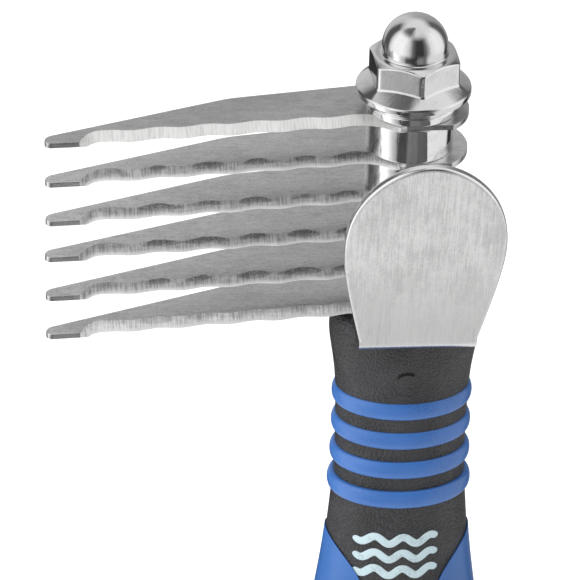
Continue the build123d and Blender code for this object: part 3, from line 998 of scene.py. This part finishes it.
@dataclass
class Studio:
    """Camera, soft lights, pale floor and a world that chrome can mirror."""

    view_azimuth: float = -5.721
    view_elevation: float = 30.663
    view_roll: float = 1.461
    place: tuple = (-0.083929, -0.654808, 0.495474)
    lens: float = 301.47
    sensor: float = 36.0
    clip_start: float = 0.05
    target: tuple = (0.0, 0.0, 0.125)
    floor_drop: float = 0.0005
    floor_half: float = 3.0
    front: float = -5.7
    strength: float = 1.0
    band_edges: tuple = ((-50, -40), (-28, -8), (38, 66))
    floor_band: tuple = ((-180, 0.85), (0, 0.98), (180, 0.85))
    low_band: tuple = (
        (-180, 0.03), (-130, 0.03), (-124, 0.3), (-112, 0.12), (-104, 0.35), (-93, 0.12), (-87, 1.5),
        (-64, 1.5), (-54, 1.0), (-45, 0.62), (-37, 0.45), (-31, 0.05), (4, 0.03), (9, 0.2), (22, 0.3),
        (36, 0.14), (47, 0.9), (111, 0.85), (119, 0.03), (136, 0.03), (141, 0.35), (180, 0.3))
    level_band: tuple = (
        (-180, 0.47), (-160, 0.72), (-140, 0.6), (-128, 0.1), (-106, 0.1), (-95, 0.85), (-80, 1.2),
        (-44, 1.2), (-24, 0.8), (-8, 0.16), (4, 0.05), (26, 0.05), (38, 0.22), (56, 0.95), (80, 1.1),
        (108, 1.0), (122, 0.15), (138, 0.13), (150, 0.36), (180, 0.47))
    high_band: tuple = ((-180, 0.88), (-104, 0.85), (-82, 0.2), (-36, 0.12), (0, 0.85), (180, 0.88))

    def camera(self) -> None:
        """Aim the camera by azimuth, elevation and roll."""
        side, roll = radians(self.view_azimuth), radians(self.view_roll)
        back = direction(self.view_azimuth, self.view_elevation)
        right = Vector((cos(side), sin(side), 0))
        top = back.cross(right)
        right, top = right * cos(roll) + top * sin(roll), top * cos(roll) - right * sin(roll)
        data = bpy.data.cameras.new("camera")
        data.lens, data.sensor_width, data.clip_start = self.lens, self.sensor, self.clip_start
        camera = bpy.data.objects.new("camera", data)
        pose = Matrix((right, top, back)).transposed().to_4x4()
        pose.translation = Vector(self.place)
        camera.matrix_world = pose
        bpy.context.collection.objects.link(camera)
        bpy.context.scene.camera = camera

    def lights(self) -> None:
        """Two tall softboxes at the sides and a wide one overhead, all soft."""
        target = Vector(self.target)
        for box in (
            Softbox("left_softbox", self.front - 62, 24, 0.55, 0.62, 0.75, 4.2),
            Softbox("right_softbox", self.front + 72, 14, 0.55, 0.62, 0.75, 0.25),
            Softbox("top_softbox", self.front, 84, 0.6, 0.8, 0.6, 1.6),
        ):
            box.build(target)

    def floor(self) -> None:
        """A wide pale floor just under the handle's end; metal mirrors the room instead of it."""
        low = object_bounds()[0][2] - self.floor_drop
        span = np.linspace(-self.floor_half, self.floor_half, 9) / MM
        x, y = np.meshgrid(span, span, indexing="ij")
        points = np.stack([x, y, np.full_like(x, low / MM)], -1)
        floor = Surface("floor", points, wrap_columns=False).build()
        if floor.data.polygons[0].normal.z < 0:
            floor.data.flip_normals()
        pale = Finish("pale_floor", grey(0.95), roughness=0.9, specular=0.1, glow=0.2)
        floor.data.materials.append(pale.build())
        floor.visible_glossy = False
        floor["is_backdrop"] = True

    def world(self) -> None:
        """A room in four bands, from the ground to overhead, each a row of greys round the comb.

        A band's stops are (degrees from the front towards +X, grey).
        """
        world = bpy.data.worlds.new("studio")
        bpy.context.scene.world = world
        world.use_nodes = True
        graph = Graph(world.node_tree)
        x, y, z = graph.split(graph.term("TexCoord", "Generated"))
        side = radians(self.front)
        across = x * cos(side) + y * sin(side)
        ahead = x * sin(side) - y * cos(side)
        turn = across.math("ARCTAN2", ahead) / tau + 0.5
        bands = [graph.term("ValToRGB", "Color", {
            "stops": [((place + 180) / 360, shade) for place, shade in band]}, {0: turn})
            for band in (self.floor_band, self.low_band, self.level_band, self.high_band)]
        room = bands[0]
        for band, (start, end) in zip(bands[1:], self.band_edges):
            room = blend_colour(z.ramp(sin(radians(start)), sin(radians(end))), room, band)
        seen = graph.term("LightPath", "Is Camera Ray")
        room = blend_colour(seen, room, (1.0, 1.0, 1.0))
        sky = graph.term("Background", 0, None, {"Color": room, "Strength": self.strength})
        graph.node("OutputWorld", None, {"Surface": sky})

    def build(self) -> None:
        """Set the whole studio up."""
        self.camera()
        self.lights()
        self.world()
        self.floor()
        bpy.context.scene.view_settings.view_transform = "Standard"


def plate_face(node: Object, lean: float = REST_LEAN) -> float:
    """How far out the thumb rest's front face lies along its own normal, in millimetres.

    It is the largest of -y cos(lean) - z sin(lean) over the node's points.
    """
    points = np.empty(len(node.data.vertices) * 3, np.float32)
    node.data.vertices.foreach_get("co", points)
    y, z = points.reshape(-1, 3).T[1:] / MM
    return float(np.max(-y * cos(radians(lean)) - z * sin(radians(lean))))


def paint(nodes: dict, looks: dict, other: Material) -> None:
    """Give each CAD node the material whose key its name starts with, or else the other one."""
    for name, piece in nodes.items():
        found = [material for start, material in looks.items() if name.startswith(start)]
        piece.data.materials.clear()
        piece.data.materials.append(found[0] if found else other)


def main() -> None:
    """Build every piece in order."""
    logging.basicConfig(level=logging.INFO, format="%(name)s: %(message)s")
    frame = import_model()
    nodes = frame["nodes"]
    chrome = Chrome("polished_chrome", grey(0.84), 1.0, 0.02).build()
    plating = Chrome("nut_plating", grey(0.75), 1.0, 0.05, haze=0.1, relief=0.02).build()
    zinc = Chrome("zinc_plate", grey(0.6), 1.0, 0.22, haze=0.15).build()
    plate = BrushedPlate("brushed_plate", (0.85, 0.85, 0.845), 0.8, 0.44,
                         face=plate_face(nodes["thumb_rest"])).build()
    black = SleeveRubber("black_rubber", (0.019, 0.019, 0.0205), roughness=0.4, grain=0.24,
                         bright=1.9).build()
    plastic = SoftRubber("black_plastic", (0.017, 0.017, 0.018), roughness=0.36, grain=0.02,
                         bright=1.6).build()
    blue = SoftRubber("blue_rubber", (0.025, 0.098, 0.298), roughness=0.33, grain=0.008,
                      bright=1.16).build()
    gloss = SoftRubber("blue_ring_rubber", (0.031, 0.112, 0.34), roughness=0.3, specular=0.6,
                       grain=0.006, bright=1.16).build()
    ink = PrintInk("print_ink", (0.42, 0.53, 0.57), roughness=0.5).build()
    paint(nodes, {"handle_core": plastic, "grip_ring": blue, "grip_panel": blue, "thumb_rest": plate,
                  "stud": zinc, "rest_dowel": zinc}, black)
    CapNut().build(plating)
    Stack().build(chrome, zinc)
    Grip().build(gloss, ink)
    grinds = [Grind.BRIGHT, *[Grind.PATCHED] * 4, Grind.FROSTED]
    for number, (angle, shade, grind) in enumerate(zip(BLADE_ANGLES, BLADE_GREYS_WITH_PAINTED_SHADE, grinds), 1):
        blade = Blade(number, angle)
        steel = BladeSteel(f"blade_steel_{number}", grey(shade), 0.93, 0.28, grind=grind,
                           turn=-angle, seed=number * 13.0, shape=blade)
        blade.build(steel.build())
    Studio().build()


if __name__ == "__main__":
    main()
